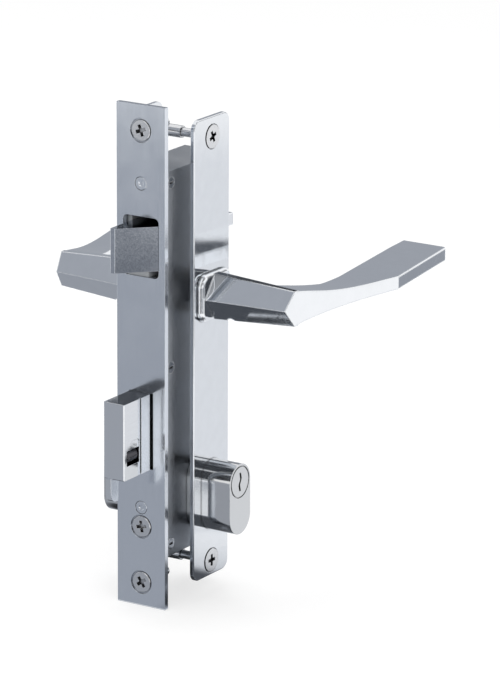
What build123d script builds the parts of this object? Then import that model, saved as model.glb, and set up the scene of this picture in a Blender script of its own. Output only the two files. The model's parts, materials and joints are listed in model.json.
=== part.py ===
from build123d import *
import os

os.makedirs("parts", exist_ok=True)

# Mortice lock set for a narrow door stile.
# Millimetres. Origin on the forend's front face, mid door thickness, at spindle height.
# +X is the outer side of the door, -Y looks out of the door's edge, +Z is up.

# Door and forend
door_thickness = 33.4
forend_width = 25.5
forend_thickness = 2.5
forend_top = 89.8
forend_bottom = -141.6

# Functional distances
backset = 29.0
centre_distance = 85.0

# Lock case
case_half_inside = 9.4
case_wall = 1.3
case_top = 60.0
case_bottom = -118.0
case_back = 51.6
post_diameter = 6.0
post_spigot_diameter = 3.2
post_from_wall = 4.2
cover_screw_diameter = 3.0
cover_screw_head = 5.4
cover_screw_length = 9.0
cover_slot_width = 1.1

# Forend fixings
rivet_head_diameter = 6.3
rivet_shank_diameter = 4.0
rivet_head_thickness = 1.0
rivet_rim = 0.35
rivet_dimple_radius = 1.3
rivet_dimple_depth = 0.4
upper_rivet_z = 54.3
lower_rivet_z = -95.2
fixing_head_diameter = 10.5
fixing_head_height = 2.5
fixing_head_rim = 0.3
fixing_shank_diameter = 4.2
fixing_length = 20.0
upper_fixing_z = 78.2
lower_fixing_z = -130.5
cylinder_screw_z = -104.2
cylinder_screw_diameter = 5.0
cylinder_screw_length = 34.0
cylinder_screw_turn = 10.0
upper_fixing_turn = 20.0
lower_fixing_turn = 35.0
recess_width = 1.6
recess_span = 5.4
recess_depth = 1.7
recess_pit_radius = 1.3
head_gap = 0.35
head_gap_depth = 0.6

# Latch
latch_bottom = 15.8
latch_top = 36.1
latch_left = -6.9
latch_side_clearance = 0.2
latch_projection = 14.0
latch_tip_width = 2.5
latch_inside_length = 14.0
latch_slot_bottom = 12.0
latch_slot_top = 39.4
latch_slot_corner = 2.2
latch_travel = 13.5
latch_tip_round = 0.35
latch_pin_diameter = 2.5
tail_thickness = 6.0
tail_bottom = 22.2
tail_top = 27.0
tail_joint_length = 6.0
lug_bottom = 12.5
lug_thickness = 3.2
guide_clearance = 0.2
guide_back = 16.0
guide_ledge = 1.3
guide_lug_right = 3.8
guide_lug_front = 0.6

# Follower and spindle
spindle_size = 8.0
spindle_reach = 45.0
spindle_end_chamfer = 0.6
hub_diameter = 18.0
hub_side_clearance = 0.3
journal_diameter = 14.0
journal_clearance = 0.05
arm_width = 5.0
nose_radius = 3.0
nose_offset = 18.5
arm_lug_gap = 0.8
return_nose_offset = 16.0

# Springs
latch_spring_diameter = 6.4
latch_spring_wire = 0.8
latch_spring_turns = 11
latch_spring_z = 31.4
latch_spring_pressed_length = 16.5
spring_seat_thickness = 2.0
spring_spigot_length = 8.0
return_spring_diameter = 7.0
return_spring_wire = 0.9
return_spring_turns = 8

# Dead bolt and its hook
bolt_thickness = 11.0
bolt_top = -41.1
bolt_bottom = -76.4
bolt_projection = 21.8
bolt_travel = 22.0
bolt_full_depth = 2.6
bolt_block_end = 8.0
bolt_step_height = 1.8
bolt_clearance = 0.05
bolt_slot_gap = 0.9
bolt_corner = 0.4
bolt_tail_thickness = 8.6
bolt_tail_top = -48.0
bolt_tail_bottom = -69.0
groove_y = -8.6
groove_width = 1.3
groove_depth = 0.8
insert_y = -14.7
insert_z = -66.5
insert_diameter = 7.0
insert_length = 9.8
insert_end_round = 1.6
insert_inset = 0.15
keeper_width = 6.6
keeper_height = 3.8
keeper_corner = 1.5
keeper_thickness = 1.2
keeper_inset = 0.2
hook_front = -20.8
hook_length = 6.0
hook_thickness = 2.7
hook_drop = 11.8
hook_height = 25.0
hook_corner = 4.2
hook_lift_ratio = 0.8
hook_cover_thickness = 0.5
hook_cover_margin = 1.2
hook_cover_lip = 0.5
guide_frame_length = 7.2
guide_frame_wall = 5.0

# Key cylinder
cylinder_width = 17.0
cylinder_height = 33.0
cylinder_length = 68.0
plug_diameter = 13.8
plug_clearance = 0.05
plug_ring_width = 0.7
plug_ring_depth = 0.6
cam_slot_width = 10.0
cam_slot_bottom = -101.0
cam_width = 8.0
cam_hub_diameter = 15.0
cam_nose_radius = 1.8
cam_reach = 15.0
cam_stalk_width = 2.2
cam_half_turn = 54.0
notch_half_width = 2.5
notch_flare = 1.6
tooth_width = 4.0
tooth_bottom = -77.0
clutch_diameter = 6.0
clutch_length = 10.0
clip_thickness = 0.6
clip_diameter = 15.0
clip_groove_depth = 0.8
clip_mouth = 7.5
plug_end_gap = 0.1
keyway_width = 1.3
keyway_height = 8.6
keyway_depth = 26.0
keyway_step = 0.7
keyway_step_height = 2.9
pin_diameter = 2.8
pin_bore_clearance = 0.05
pin_count = 5
first_pin_inset = 5.0
pin_pitch = 4.4
key_pin_length = 3.4
driver_pin_length = 5.0
key_pin_inset = 0.16
driver_inset = 0.03
pin_bore_floor = 2.0

# Back plates
plate_thickness = 2.0
plate_front_y = 14.4
plate_back_y = 42.9
plate_top = 81.5
plate_bottom = -131.7
plate_corner = 4.5
plate_edge = 0.5
plate_screw_top_z = 72.3
plate_screw_bottom_z = -124.7
plate_head_diameter = 10.8
plate_head_height = 2.9
plate_head_proud = 0.3
plate_screw_diameter = 4.0
plate_screw_length = 29.0
plate_screw_turns = (25.0, 0.0)
sleeve_turns = (10.0, 40.0)
sleeve_diameter = 5.6
sleeve_length = 22.0

# Lever handles
shank_diameter = 16.0
shank_end_x = 13.0
bearing_outer = 20.0
bearing_behind_plate = 1.2
bearing_clearance = 0.05
collar_gap = 0.25
collar_width = 24.6
collar_height = 21.8
collar_depth = 2.6
collar_corner = 5.0
collar_round = 1.9
neck_start_half_width = 10.0
neck_start_half_height = 10.5
neck_start_flat = 4.4
neck_end_x = 62.6
neck_end_half_width = 6.55
neck_end_half_height = 8.0
neck_end_flat_front = -0.6
neck_end_flat_back = 2.2
blade_crest_y = 63.5
blade_crest_x = 77.6
blade_tip_y = 120.0
blade_tip_outer_x = 69.8
blade_tip_inner_x = 46.7
blade_tip_round = 2.0
blade_root_x = 47.0
blade_root_y = 8.0
blade_throat_y = 31.0
blade_throat_x = 55.7
blade_waist_y = 49.0
blade_waist_x = 55.0
blade_inner_end_y = 105.0
blade_inner_end_x = 48.0
blade_bend_y = 20.0
blade_bend_upper_z = 4.7
blade_bend_lower_z = -5.0
blade_upper_z = 2.8
blade_lower_tip_z = -3.5
blade_lower_crest_z = -3.4
blade_upper_start_slope = 0.12
blade_lower_end_slope = 0.25
blade_edge = 0.5
circlip_thickness = 1.0
circlip_diameter = 19.4
circlip_groove_depth = 0.8
circlip_gap = 0.1
circlip_mouth = 7.8
grub_diameter = 5.0
grub_from_spindle_end = 15.0
grub_inset = 0.5
grub_socket_radius = 1.25

# Derived places
door_face = door_thickness / 2
plate_face = door_face + plate_thickness
case_half = case_half_inside + case_wall
latch_right = case_half_inside - latch_side_clearance
case_front = forend_thickness
cavity_front = case_front + case_wall
cavity_back = case_back - case_wall
plug_z = -centre_distance
round_half = cylinder_width / 2
lug_front = backset + nose_radius + arm_lug_gap
spring_seat_y = latch_inside_length + latch_travel + latch_spring_pressed_length
grub_x = spindle_reach - grub_from_spindle_end
lever_start = plate_face + collar_gap
hook_travel = bolt_travel * hook_lift_ratio
overlap = 1.0


def save(builder, name):
    """Label a finished piece and write it as one file."""
    builder.part.label = name
    export_step(builder.part, f"parts/{name}.step")
    print(name, len(builder.part.solids()), round(builder.part.volume, 1))


def side_plane(x, y=0.0, z=0.0):
    """Sketch plane square to the spindle: its x runs along +Y and its y along +Z."""
    return Plane(origin=(x, y, z), x_dir=(0, 1, 0), z_dir=(1, 0, 0))


def edge_plane(y, x=0.0, z=0.0):
    """Sketch plane square to the forend's normal, looking into the door: x along +X, y along +Z."""
    return Plane(origin=(x, y, z), x_dir=(1, 0, 0), z_dir=(0, -1, 0))


def box_between(low, high, mode=Mode.ADD):
    """Box from its lowest to its highest corner, inside the active part."""
    size = [b - a for a, b in zip(low, high)]
    middle = [(a + b) / 2 for a, b in zip(low, high)]
    with Locations(tuple(middle)):
        Box(*size, mode=mode)


def rod_x(y, z, radius, x_low, x_high, mode=Mode.ADD):
    """Cylinder along X between two places."""
    with BuildSketch(side_plane(x_low, y, z)) as section:
        Circle(radius)
    extrude(section.sketch, amount=x_high - x_low, mode=mode)


def rod_y(x, z, radius, y_low, y_high, mode=Mode.ADD):
    """Cylinder along Y between two places."""
    with BuildSketch(edge_plane(y_high, x, z)) as section:
        Circle(radius)
    extrude(section.sketch, amount=y_high - y_low, mode=mode)


def rod_z(x, y, radius, z_low, z_high, mode=Mode.ADD):
    """Cylinder along Z between two places."""
    with BuildSketch(Plane.XY.offset(z_low)) as section:
        with Locations((x, y)):
            Circle(radius)
    extrude(section.sketch, amount=z_high - z_low, mode=mode)


def cone_y(x, z, front_radius, back_radius, y_front, y_back, mode=Mode.ADD):
    """Countersunk head or sink along Y, wide at the front."""
    with BuildSketch(edge_plane(y_front, x, z)) as front:
        Circle(front_radius)
    with BuildSketch(edge_plane(y_back, x, z)) as back:
        Circle(back_radius)
    loft([front.sketch, back.sketch], ruled=True, mode=mode)


def cone_x(y, z, face_radius, inner_radius, x_face, x_inner, mode=Mode.ADD):
    """Countersunk head or sink along X, wide at the face."""
    with BuildSketch(side_plane(x_face, y, z)) as face:
        Circle(face_radius)
    with BuildSketch(side_plane(x_inner, y, z)) as inner:
        Circle(inner_radius)
    loft([face.sketch, inner.sketch], ruled=True, mode=mode)


def sunk_head_y(z, head_radius, shank_radius):
    """Countersunk head flush with the forend's face, its rim broken so that a fine ring shows round it."""
    seat_radius = head_radius - fixing_head_rim * (head_radius - shank_radius) / fixing_head_height
    cone_y(0, z, seat_radius - fixing_head_rim, seat_radius, 0, fixing_head_rim)
    cone_y(0, z, seat_radius, shank_radius, fixing_head_rim, fixing_head_height)


def cross_recess_y(x, z, y_face, turn):
    """Cross recess with a round centre, sunk into a head that looks along -Y."""
    with BuildSketch(edge_plane(y_face + recess_depth, x, z)) as cross:
        Rectangle(recess_span, recess_width, rotation=turn)
        Rectangle(recess_width, recess_span, rotation=turn)
        Circle(recess_pit_radius)
    extrude(cross.sketch, amount=recess_depth + overlap, mode=Mode.SUBTRACT)


def cross_recess_x(y, z, x_face, turn):
    """Cross recess with a round centre, sunk into a head that looks along X, outwards from the door."""
    outwards = 1 if x_face > 0 else -1
    with BuildSketch(side_plane(x_face - outwards * recess_depth, y, z)) as cross:
        Rectangle(recess_span, recess_width, rotation=turn)
        Rectangle(recess_width, recess_span, rotation=turn)
        Circle(recess_pit_radius)
    extrude(cross.sketch, amount=outwards * (recess_depth + overlap), mode=Mode.SUBTRACT)


def oval_between(x_low, x_high, mode=Mode.ADD):
    """Oval cylinder section carried between two places along X; the plug's circle is at its top."""
    straight_height = cylinder_height - cylinder_width
    with BuildSketch(side_plane(x_low, backset, plug_z - straight_height / 2)) as oval:
        Rectangle(cylinder_width, straight_height)
        for end in (-1, 1):
            with Locations((0, end * straight_height / 2)):
                Circle(round_half)
    extrude(oval.sketch, amount=x_high - x_low, mode=mode)


def coil_along_y(x, z, diameter, wire, turns, y_low, y_high):
    """Compression spring along Y inside the active part; the wire stays inside the given length."""
    length = y_high - y_low - wire
    first_point = (x, y_low + wire / 2, z)
    with BuildLine() as path:
        Helix(length / turns, length, (diameter - wire) / 2, center=first_point, direction=(0, 1, 0))
    with BuildSketch(Plane(origin=path.line @ 0, z_dir=path.line % 0)) as section:
        Circle(wire / 2)
    sweep(section.sketch, path=path.line, is_frenet=True)


# Forend
with BuildPart() as forend:
    box_between(
        (-forend_width / 2, 0, forend_bottom),
        (forend_width / 2, forend_thickness, forend_top),
    )
    with BuildSketch(edge_plane(forend_thickness, 0, (latch_slot_bottom + latch_slot_top) / 2)):
        RectangleRounded(
            2 * case_half_inside,
            latch_slot_top - latch_slot_bottom,
            latch_slot_corner,
        )
    extrude(amount=forend_thickness + overlap, mode=Mode.SUBTRACT)
    box_between(
        (-bolt_thickness / 2 - bolt_slot_gap, -overlap, bolt_bottom - bolt_clearance),
        (bolt_thickness / 2 + bolt_slot_gap, forend_thickness, bolt_top + bolt_clearance),
        Mode.SUBTRACT,
    )
    for z in (upper_rivet_z, lower_rivet_z):
        rod_y(0, z, rivet_shank_diameter / 2, 0, forend_thickness, Mode.SUBTRACT)
        rod_y(0, z, rivet_head_diameter / 2, 0, rivet_head_thickness, Mode.SUBTRACT)
    for z in (upper_fixing_z, lower_fixing_z):
        rod_y(0, z, fixing_shank_diameter / 2, 0, forend_thickness, Mode.SUBTRACT)
        cone_y(
            0, z, fixing_head_diameter / 2, fixing_shank_diameter / 2, 0, fixing_head_height, Mode.SUBTRACT
        )
        rod_y(0, z, fixing_head_diameter / 2 + head_gap, 0, head_gap_depth, Mode.SUBTRACT)
    rod_y(0, cylinder_screw_z, cylinder_screw_diameter / 2, 0, forend_thickness, Mode.SUBTRACT)
    cone_y(
        0,
        cylinder_screw_z,
        fixing_head_diameter / 2,
        cylinder_screw_diameter / 2,
        0,
        fixing_head_height,
        Mode.SUBTRACT,
    )
    rod_y(0, cylinder_screw_z, fixing_head_diameter / 2 + head_gap, 0, head_gap_depth, Mode.SUBTRACT)
save(forend, "forend")

with BuildPart() as forend_rivets:
    rivet_radius = rivet_head_diameter / 2
    for z in (upper_rivet_z, lower_rivet_z):
        cone_y(0, z, rivet_radius - rivet_rim, rivet_radius, 0, rivet_rim)
        rod_y(0, z, rivet_radius, rivet_rim, rivet_head_thickness)
        rod_y(0, z, rivet_shank_diameter / 2, 0, cavity_front + rivet_head_thickness)
        rod_y(0, z, rivet_radius, cavity_front, cavity_front + rivet_head_thickness)
        dimple_floor = rivet_dimple_radius - rivet_dimple_depth
        cone_y(0, z, rivet_dimple_radius, dimple_floor, 0, rivet_dimple_depth, Mode.SUBTRACT)
save(forend_rivets, "forend_rivets")

with BuildPart() as forend_fixing_screws:
    for z, turn in ((upper_fixing_z, upper_fixing_turn), (lower_fixing_z, lower_fixing_turn)):
        sunk_head_y(z, fixing_head_diameter / 2, fixing_shank_diameter / 2)
        rod_y(0, z, fixing_shank_diameter / 2, fixing_head_height, fixing_length)
        cross_recess_y(0, z, 0, turn)
save(forend_fixing_screws, "forend_fixing_screws")

with BuildPart() as cylinder_fixing_screw:
    sunk_head_y(cylinder_screw_z, fixing_head_diameter / 2, cylinder_screw_diameter / 2)
    rod_y(0, cylinder_screw_z, cylinder_screw_diameter / 2, fixing_head_height, cylinder_screw_length)
    cross_recess_y(0, cylinder_screw_z, 0, cylinder_screw_turn)
save(cylinder_fixing_screw, "cylinder_fixing_screw")

# Lock case: a tray closed by a flat cover
post_places = [
    (cavity_front + post_from_wall, case_top - case_wall - post_from_wall),
    (cavity_back - post_from_wall, case_top - case_wall - post_from_wall),
    (cavity_front + post_from_wall, bolt_top + bolt_travel / 2),
    (cavity_back - post_from_wall, bolt_top + post_diameter),
    (cavity_front + post_from_wall, case_bottom + case_wall + post_from_wall),
    (cavity_back - post_from_wall, case_bottom + case_wall + post_from_wall),
]

with BuildPart() as case_body:
    box_between((-case_half, case_front, case_bottom), (case_half_inside, case_back, case_top))
    box_between(
        (-case_half_inside, cavity_front, case_bottom + case_wall),
        (case_half_inside, cavity_back, case_top - case_wall),
        Mode.SUBTRACT,
    )
    box_between(
        (-case_half_inside, case_front, latch_slot_bottom),
        (case_half_inside, cavity_front, latch_slot_top),
        Mode.SUBTRACT,
    )
    box_between(
        (-bolt_thickness / 2 - bolt_clearance, case_front, bolt_bottom - bolt_clearance),
        (bolt_thickness / 2 + bolt_clearance, cavity_front, bolt_top + bolt_clearance),
        Mode.SUBTRACT,
    )
    for z in (upper_rivet_z, lower_rivet_z):
        rod_y(0, z, rivet_shank_diameter / 2, case_front, cavity_front, Mode.SUBTRACT)
    rod_y(0, cylinder_screw_z, cylinder_screw_diameter / 2, case_front, cavity_front, Mode.SUBTRACT)
    for y, z in post_places:
        rod_x(y, z, post_spigot_diameter / 2, -case_half, -case_half_inside, Mode.SUBTRACT)
    rod_x(
        backset, 0, journal_diameter / 2 + journal_clearance, -case_half, -case_half_inside, Mode.SUBTRACT
    )
    oval_between(-case_half, -case_half_inside, Mode.SUBTRACT)
save(case_body, "case_body")

with BuildPart() as case_cover:
    box_between((case_half_inside, case_front, case_bottom), (case_half, case_back, case_top))
    for y, z in post_places:
        shank_radius = cover_screw_diameter / 2
        rod_x(y, z, shank_radius, case_half_inside, case_half, Mode.SUBTRACT)
        cone_x(y, z, cover_screw_head / 2, shank_radius, case_half, case_half_inside, Mode.SUBTRACT)
    rod_x(backset, 0, journal_diameter / 2 + journal_clearance, case_half_inside, case_half, Mode.SUBTRACT)
    oval_between(case_half_inside, case_half, Mode.SUBTRACT)
save(case_cover, "case_cover")

with BuildPart() as case_posts:
    for y, z in post_places:
        rod_x(y, z, post_diameter / 2, -case_half_inside, case_half_inside)
        rod_x(y, z, post_spigot_diameter / 2, -case_half, -case_half_inside)
        rod_x(
            y,
            z,
            cover_screw_diameter / 2,
            case_half - cover_screw_length,
            case_half_inside,
            Mode.SUBTRACT,
        )
save(case_posts, "case_posts")

with BuildPart() as cover_screws:
    for y, z in post_places:
        cone_x(y, z, cover_screw_head / 2, cover_screw_diameter / 2, case_half, case_half_inside)
        rod_x(y, z, cover_screw_diameter / 2, case_half - cover_screw_length, case_half_inside)
        box_between(
            (case_half - case_wall / 2, y - cover_screw_diameter / 2, z - cover_slot_width / 2),
            (case_half, y + cover_screw_diameter / 2, z + cover_slot_width / 2),
            Mode.SUBTRACT,
        )
save(cover_screws, "cover_screws")

# Latch
latch_bevel_end = latch_left + latch_tip_width

with BuildPart() as latch_bolt:
    with BuildSketch(Plane.XY.offset(latch_bottom)):
        with BuildLine():
            Polyline(
                (latch_left, latch_inside_length),
                (latch_left, -latch_projection),
                (latch_bevel_end, -latch_projection),
                (latch_right, 0),
                (latch_right, latch_inside_length),
                close=True,
            )
        make_face()
    extrude(amount=latch_top - latch_bottom)
    tip_edges = latch_bolt.edges().filter_by(Axis.Z).group_by(Axis.Y)[0]
    fillet(tip_edges, latch_tip_round)
    box_between(
        (-tail_thickness / 2, latch_inside_length - tail_joint_length, tail_bottom),
        (tail_thickness / 2, latch_inside_length, tail_top),
        Mode.SUBTRACT,
    )
    latch_pin_y = latch_inside_length - tail_joint_length / 2
    latch_pin_z = (tail_bottom + tail_top) / 2
    rod_x(latch_pin_y, latch_pin_z, latch_pin_diameter / 2, latch_left, latch_right, Mode.SUBTRACT)
save(latch_bolt, "latch_bolt")

with BuildPart() as latch_tail:
    box_between(
        (-tail_thickness / 2, latch_inside_length - tail_joint_length, tail_bottom),
        (tail_thickness / 2, lug_front + lug_thickness, tail_top),
    )
    box_between(
        (-tail_thickness / 2, lug_front, lug_bottom),
        (tail_thickness / 2, lug_front + lug_thickness, tail_bottom),
    )
    rod_x(latch_pin_y, latch_pin_z, latch_pin_diameter / 2, latch_left, latch_right, Mode.SUBTRACT)
save(latch_tail, "latch_tail")

with BuildPart() as latch_pin:
    rod_x(latch_pin_y, latch_pin_z, latch_pin_diameter / 2, latch_left, latch_right)
save(latch_pin, "latch_pin")

# Plastic guide beside and below the latch, with a lug that shows in the slot
with BuildPart() as latch_guide:
    guide_top_z = latch_bottom - guide_clearance
    box_between(
        (-case_half_inside, cavity_front, latch_slot_bottom - guide_ledge),
        (guide_lug_right, guide_back, guide_top_z),
    )
    box_between(
        (-case_half_inside, cavity_front, latch_slot_bottom),
        (latch_left - guide_clearance, guide_back, latch_slot_top - guide_clearance),
    )
    box_between(
        (-case_half_inside + latch_slot_corner, guide_lug_front, latch_slot_bottom),
        (guide_lug_right, cavity_front, guide_top_z),
    )
save(latch_guide, "latch_guide")

with BuildPart() as spring_seat:
    seat_half = latch_spring_diameter / 2
    box_between(
        (-case_half_inside, spring_seat_y, latch_spring_z - seat_half),
        (case_half_inside, spring_seat_y + spring_seat_thickness, latch_spring_z + seat_half),
    )
    spigot_radius = seat_half - latch_spring_wire - guide_clearance
    rod_y(0, latch_spring_z, spigot_radius, spring_seat_y - spring_spigot_length, spring_seat_y)
save(spring_seat, "spring_seat")

with BuildPart() as latch_spring:
    coil_along_y(
        0,
        latch_spring_z,
        latch_spring_diameter,
        latch_spring_wire,
        latch_spring_turns,
        latch_inside_length,
        spring_seat_y,
    )
save(latch_spring, "latch_spring")

# Follower: hub on two journals, arm up to the latch tail, short arm down to the return spring
with BuildPart() as follower:
    hub_half = case_half_inside - hub_side_clearance
    rod_x(backset, 0, hub_diameter / 2, -hub_half, hub_half)
    rod_x(backset, 0, journal_diameter / 2, -case_half, case_half)
    for offset in (nose_offset, -return_nose_offset):
        rod_x(backset, offset, nose_radius, -tail_thickness / 2, tail_thickness / 2)
        box_between(
            (-tail_thickness / 2, backset - arm_width / 2, min(0, offset)),
            (tail_thickness / 2, backset + arm_width / 2, max(0, offset)),
        )
    box_between(
        (-case_half, backset - spindle_size / 2, -spindle_size / 2),
        (case_half, backset + spindle_size / 2, spindle_size / 2),
        Mode.SUBTRACT,
    )
save(follower, "follower")

with BuildPart() as follower_spring:
    coil_along_y(
        0,
        -return_nose_offset,
        return_spring_diameter,
        return_spring_wire,
        return_spring_turns,
        cavity_front,
        backset - nose_radius,
    )
save(follower_spring, "follower_spring")

with BuildPart() as spindle:
    box_between(
        (-spindle_reach, backset - spindle_size / 2, -spindle_size / 2),
        (spindle_reach, backset + spindle_size / 2, spindle_size / 2),
    )
    end_edges = spindle.edges().filter_by(Axis.X, reverse=True)
    chamfer(end_edges, spindle_end_chamfer)
save(spindle, "spindle")

# Dead bolt: block, guided tail and two teeth that hold the cam's nose between them
notch_y = backset - bolt_travel / 2
tail_end = notch_y + notch_half_width + tooth_width
tail_half = bolt_tail_thickness / 2
hook_inner_x = -bolt_thickness / 2 + hook_cover_thickness
hook_back = hook_front + hook_length
hook_bottom = bolt_bottom - hook_drop
hook_top = hook_bottom + hook_height
pocket_top = hook_top + hook_travel + overlap
insert_front = insert_y - insert_length / 2
insert_back = insert_y + insert_length / 2
insert_x = bolt_thickness / 2 - insert_inset - insert_diameter / 2
insert_top = insert_z + insert_diameter / 2
keeper_back_x = bolt_thickness / 2 - keeper_thickness


def keeper_between(x_low, x_high, clearance, mode=Mode.ADD):
    """Round-topped tab that stands on the insert, at the back of its recess."""
    with BuildSketch(side_plane(x_low, insert_back, insert_top)) as tab:
        with BuildLine():
            FilletPolyline(
                (-keeper_width - clearance, 0),
                (-keeper_width - clearance, keeper_height + clearance),
                (clearance, keeper_height + clearance),
                (clearance, 0),
                radius=keeper_corner,
            )
            Line((clearance, 0), (-keeper_width - clearance, 0))
        make_face()
    extrude(tab.sketch, amount=x_high - x_low, mode=mode)


with BuildPart() as dead_bolt:
    box_between(
        (-bolt_thickness / 2, -bolt_projection, bolt_bottom),
        (bolt_thickness / 2, bolt_full_depth, bolt_top),
    )
    nose_face = dead_bolt.faces().sort_by(Axis.Y)[0]
    chamfer(nose_face.edges(), bolt_corner)
    box_between(
        (-bolt_thickness / 2, bolt_full_depth, bolt_bottom + bolt_step_height),
        (bolt_thickness / 2, bolt_block_end, bolt_top),
    )
    with BuildSketch(side_plane(-tail_half)):
        with BuildLine():
            Polyline(
                (bolt_block_end, bolt_tail_top),
                (tail_end, bolt_tail_top),
                (tail_end, tooth_bottom),
                (notch_y + notch_half_width + notch_flare, tooth_bottom),
                (notch_y + notch_half_width, tooth_bottom + notch_flare),
                (notch_y + notch_half_width, bolt_tail_bottom),
                (notch_y - notch_half_width, bolt_tail_bottom),
                (notch_y - notch_half_width, tooth_bottom + notch_flare),
                (notch_y - notch_half_width - notch_flare, tooth_bottom),
                (notch_y - notch_half_width - tooth_width, tooth_bottom),
                (notch_y - notch_half_width - tooth_width, bolt_tail_bottom),
                (bolt_block_end, bolt_tail_bottom),
                close=True,
            )
        make_face()
    extrude(amount=bolt_tail_thickness)
    box_between(
        (hook_inner_x, hook_front - bolt_clearance, bolt_bottom),
        (hook_inner_x + hook_thickness + 2 * bolt_clearance, hook_back + bolt_clearance, pocket_top),
        Mode.SUBTRACT,
    )
    box_between(
        (-bolt_thickness / 2, hook_front - hook_cover_lip, bolt_bottom),
        (hook_inner_x, hook_back + hook_cover_margin, pocket_top + hook_cover_margin),
        Mode.SUBTRACT,
    )
    box_between(
        (insert_x, insert_front - bolt_clearance, insert_z - insert_diameter / 2 - bolt_clearance),
        (bolt_thickness / 2, insert_back + bolt_clearance, insert_top + bolt_clearance),
        Mode.SUBTRACT,
    )
    rod_y(
        insert_x,
        insert_z,
        insert_diameter / 2 + bolt_clearance,
        insert_front - bolt_clearance,
        insert_back + bolt_clearance,
        Mode.SUBTRACT,
    )
    keeper_between(keeper_back_x, bolt_thickness / 2, bolt_clearance, Mode.SUBTRACT)
    box_between(
        (bolt_thickness / 2 - groove_depth, groove_y - groove_width / 2, bolt_bottom),
        (bolt_thickness / 2, groove_y + groove_width / 2, bolt_top),
        Mode.SUBTRACT,
    )
save(dead_bolt, "dead_bolt")

with BuildPart() as bolt_hook:
    with BuildSketch(side_plane(hook_inner_x + bolt_clearance)):
        with BuildLine():
            Line((hook_front, hook_top), (hook_back, hook_top))
            Line((hook_back, hook_top), (hook_back, hook_bottom))
            Line((hook_back, hook_bottom), (hook_front + hook_corner, hook_bottom))
            RadiusArc(
                (hook_front + hook_corner, hook_bottom),
                (hook_front, hook_bottom + hook_corner),
                hook_corner,
            )
            Line((hook_front, hook_bottom + hook_corner), (hook_front, hook_top))
        make_face()
    extrude(amount=hook_thickness)
save(bolt_hook, "bolt_hook")

with BuildPart() as hook_cover:
    box_between(
        (-bolt_thickness / 2, hook_front - hook_cover_lip, bolt_bottom),
        (hook_inner_x, hook_back + hook_cover_margin, pocket_top + hook_cover_margin),
    )
save(hook_cover, "hook_cover")

# Hardened barrel let into the bolt's side against sawing, and the tab that keeps it in
with BuildPart() as bolt_insert:
    rod_y(insert_x, insert_z, insert_diameter / 2, insert_front, insert_back)
    fillet(bolt_insert.edges().filter_by(GeomType.CIRCLE), insert_end_round)
save(bolt_insert, "bolt_insert")

with BuildPart() as insert_keeper:
    keeper_between(keeper_back_x, bolt_thickness / 2 - keeper_inset, 0)
save(insert_keeper, "insert_keeper")

# Plastic frame that guides the dead bolt behind the forend
with BuildPart() as bolt_guide:
    box_between(
        (-case_half_inside, cavity_front, bolt_bottom - guide_frame_wall),
        (case_half_inside, cavity_front + guide_frame_length, bolt_top + guide_frame_wall),
    )
    box_between(
        (-bolt_thickness / 2 - bolt_clearance, cavity_front, bolt_bottom - bolt_clearance),
        (
            bolt_thickness / 2 + bolt_clearance,
            cavity_front + guide_frame_length,
            bolt_top + bolt_clearance,
        ),
        Mode.SUBTRACT,
    )
save(bolt_guide, "bolt_guide")

# Key cylinder
plug_radius = plug_diameter / 2
cylinder_bottom = plug_z + round_half - cylinder_height
pin_places = [cylinder_length / 2 - first_pin_inset - i * pin_pitch for i in range(pin_count)]

with BuildPart() as cylinder_body:
    oval_between(-cylinder_length / 2, cylinder_length / 2)
    rod_x(
        backset,
        plug_z,
        plug_radius + plug_clearance,
        -cylinder_length / 2,
        cylinder_length / 2,
        Mode.SUBTRACT,
    )
    for ring_start in (-cylinder_length / 2, cylinder_length / 2 - plug_ring_depth):
        ring_end = ring_start + plug_ring_depth
        rod_x(backset, plug_z, plug_radius + plug_ring_width, ring_start, ring_end, Mode.SUBTRACT)
    box_between(
        (-cam_slot_width / 2, backset - cylinder_width, cam_slot_bottom),
        (cam_slot_width / 2, backset + cylinder_width, plug_z + cylinder_width),
        Mode.SUBTRACT,
    )
    rod_y(
        0,
        cylinder_screw_z,
        cylinder_screw_diameter / 2,
        backset - cylinder_width,
        backset + cylinder_width,
        Mode.SUBTRACT,
    )
    for x in pin_places:
        for side in (-1, 1):
            rod_z(
                side * x,
                backset,
                pin_diameter / 2 + pin_bore_clearance,
                cylinder_bottom + pin_bore_floor,
                plug_z,
                Mode.SUBTRACT,
            )
save(cylinder_body, "cylinder_body")


def cut_keyway():
    """Cut the crooked key slot through the middle of the outer plug, upright at rest."""
    middle_line = [
        (0, keyway_height / 2),
        (keyway_step, keyway_step_height / 2),
        (-keyway_step, -keyway_step_height / 2),
        (0, -keyway_height / 2),
    ]
    left = [(y - keyway_width / 2, z) for y, z in middle_line]
    right = [(y + keyway_width / 2, z) for y, z in reversed(middle_line)]
    with BuildSketch(side_plane(cylinder_length / 2 - keyway_depth, backset, plug_z)) as slot:
        with BuildLine():
            Polyline(*left, *right, close=True)
        make_face()
    extrude(slot.sketch, amount=keyway_depth, mode=Mode.SUBTRACT)


plug_start = cam_width / 2 + plug_end_gap
clip_start = plug_start + plug_end_gap
key_pin_top = plug_z - plug_radius + key_pin_length

with BuildPart() as outer_plug:
    rod_x(backset, plug_z, plug_radius, plug_start, cylinder_length / 2)
    rod_x(
        backset, plug_z, plug_radius, clip_start, clip_start + clip_thickness, Mode.SUBTRACT
    )
    rod_x(
        backset, plug_z, plug_radius - clip_groove_depth, clip_start, clip_start + clip_thickness
    )
    rod_x(
        backset,
        plug_z,
        clutch_diameter / 2 + plug_clearance,
        plug_start,
        clutch_length / 2 + plug_end_gap,
        Mode.SUBTRACT,
    )
    cut_keyway()
    for x in pin_places:
        rod_z(
            x,
            backset,
            pin_diameter / 2 + pin_bore_clearance,
            plug_z - plug_diameter,
            key_pin_top,
            Mode.SUBTRACT,
        )
save(outer_plug, "outer_plug")

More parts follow.
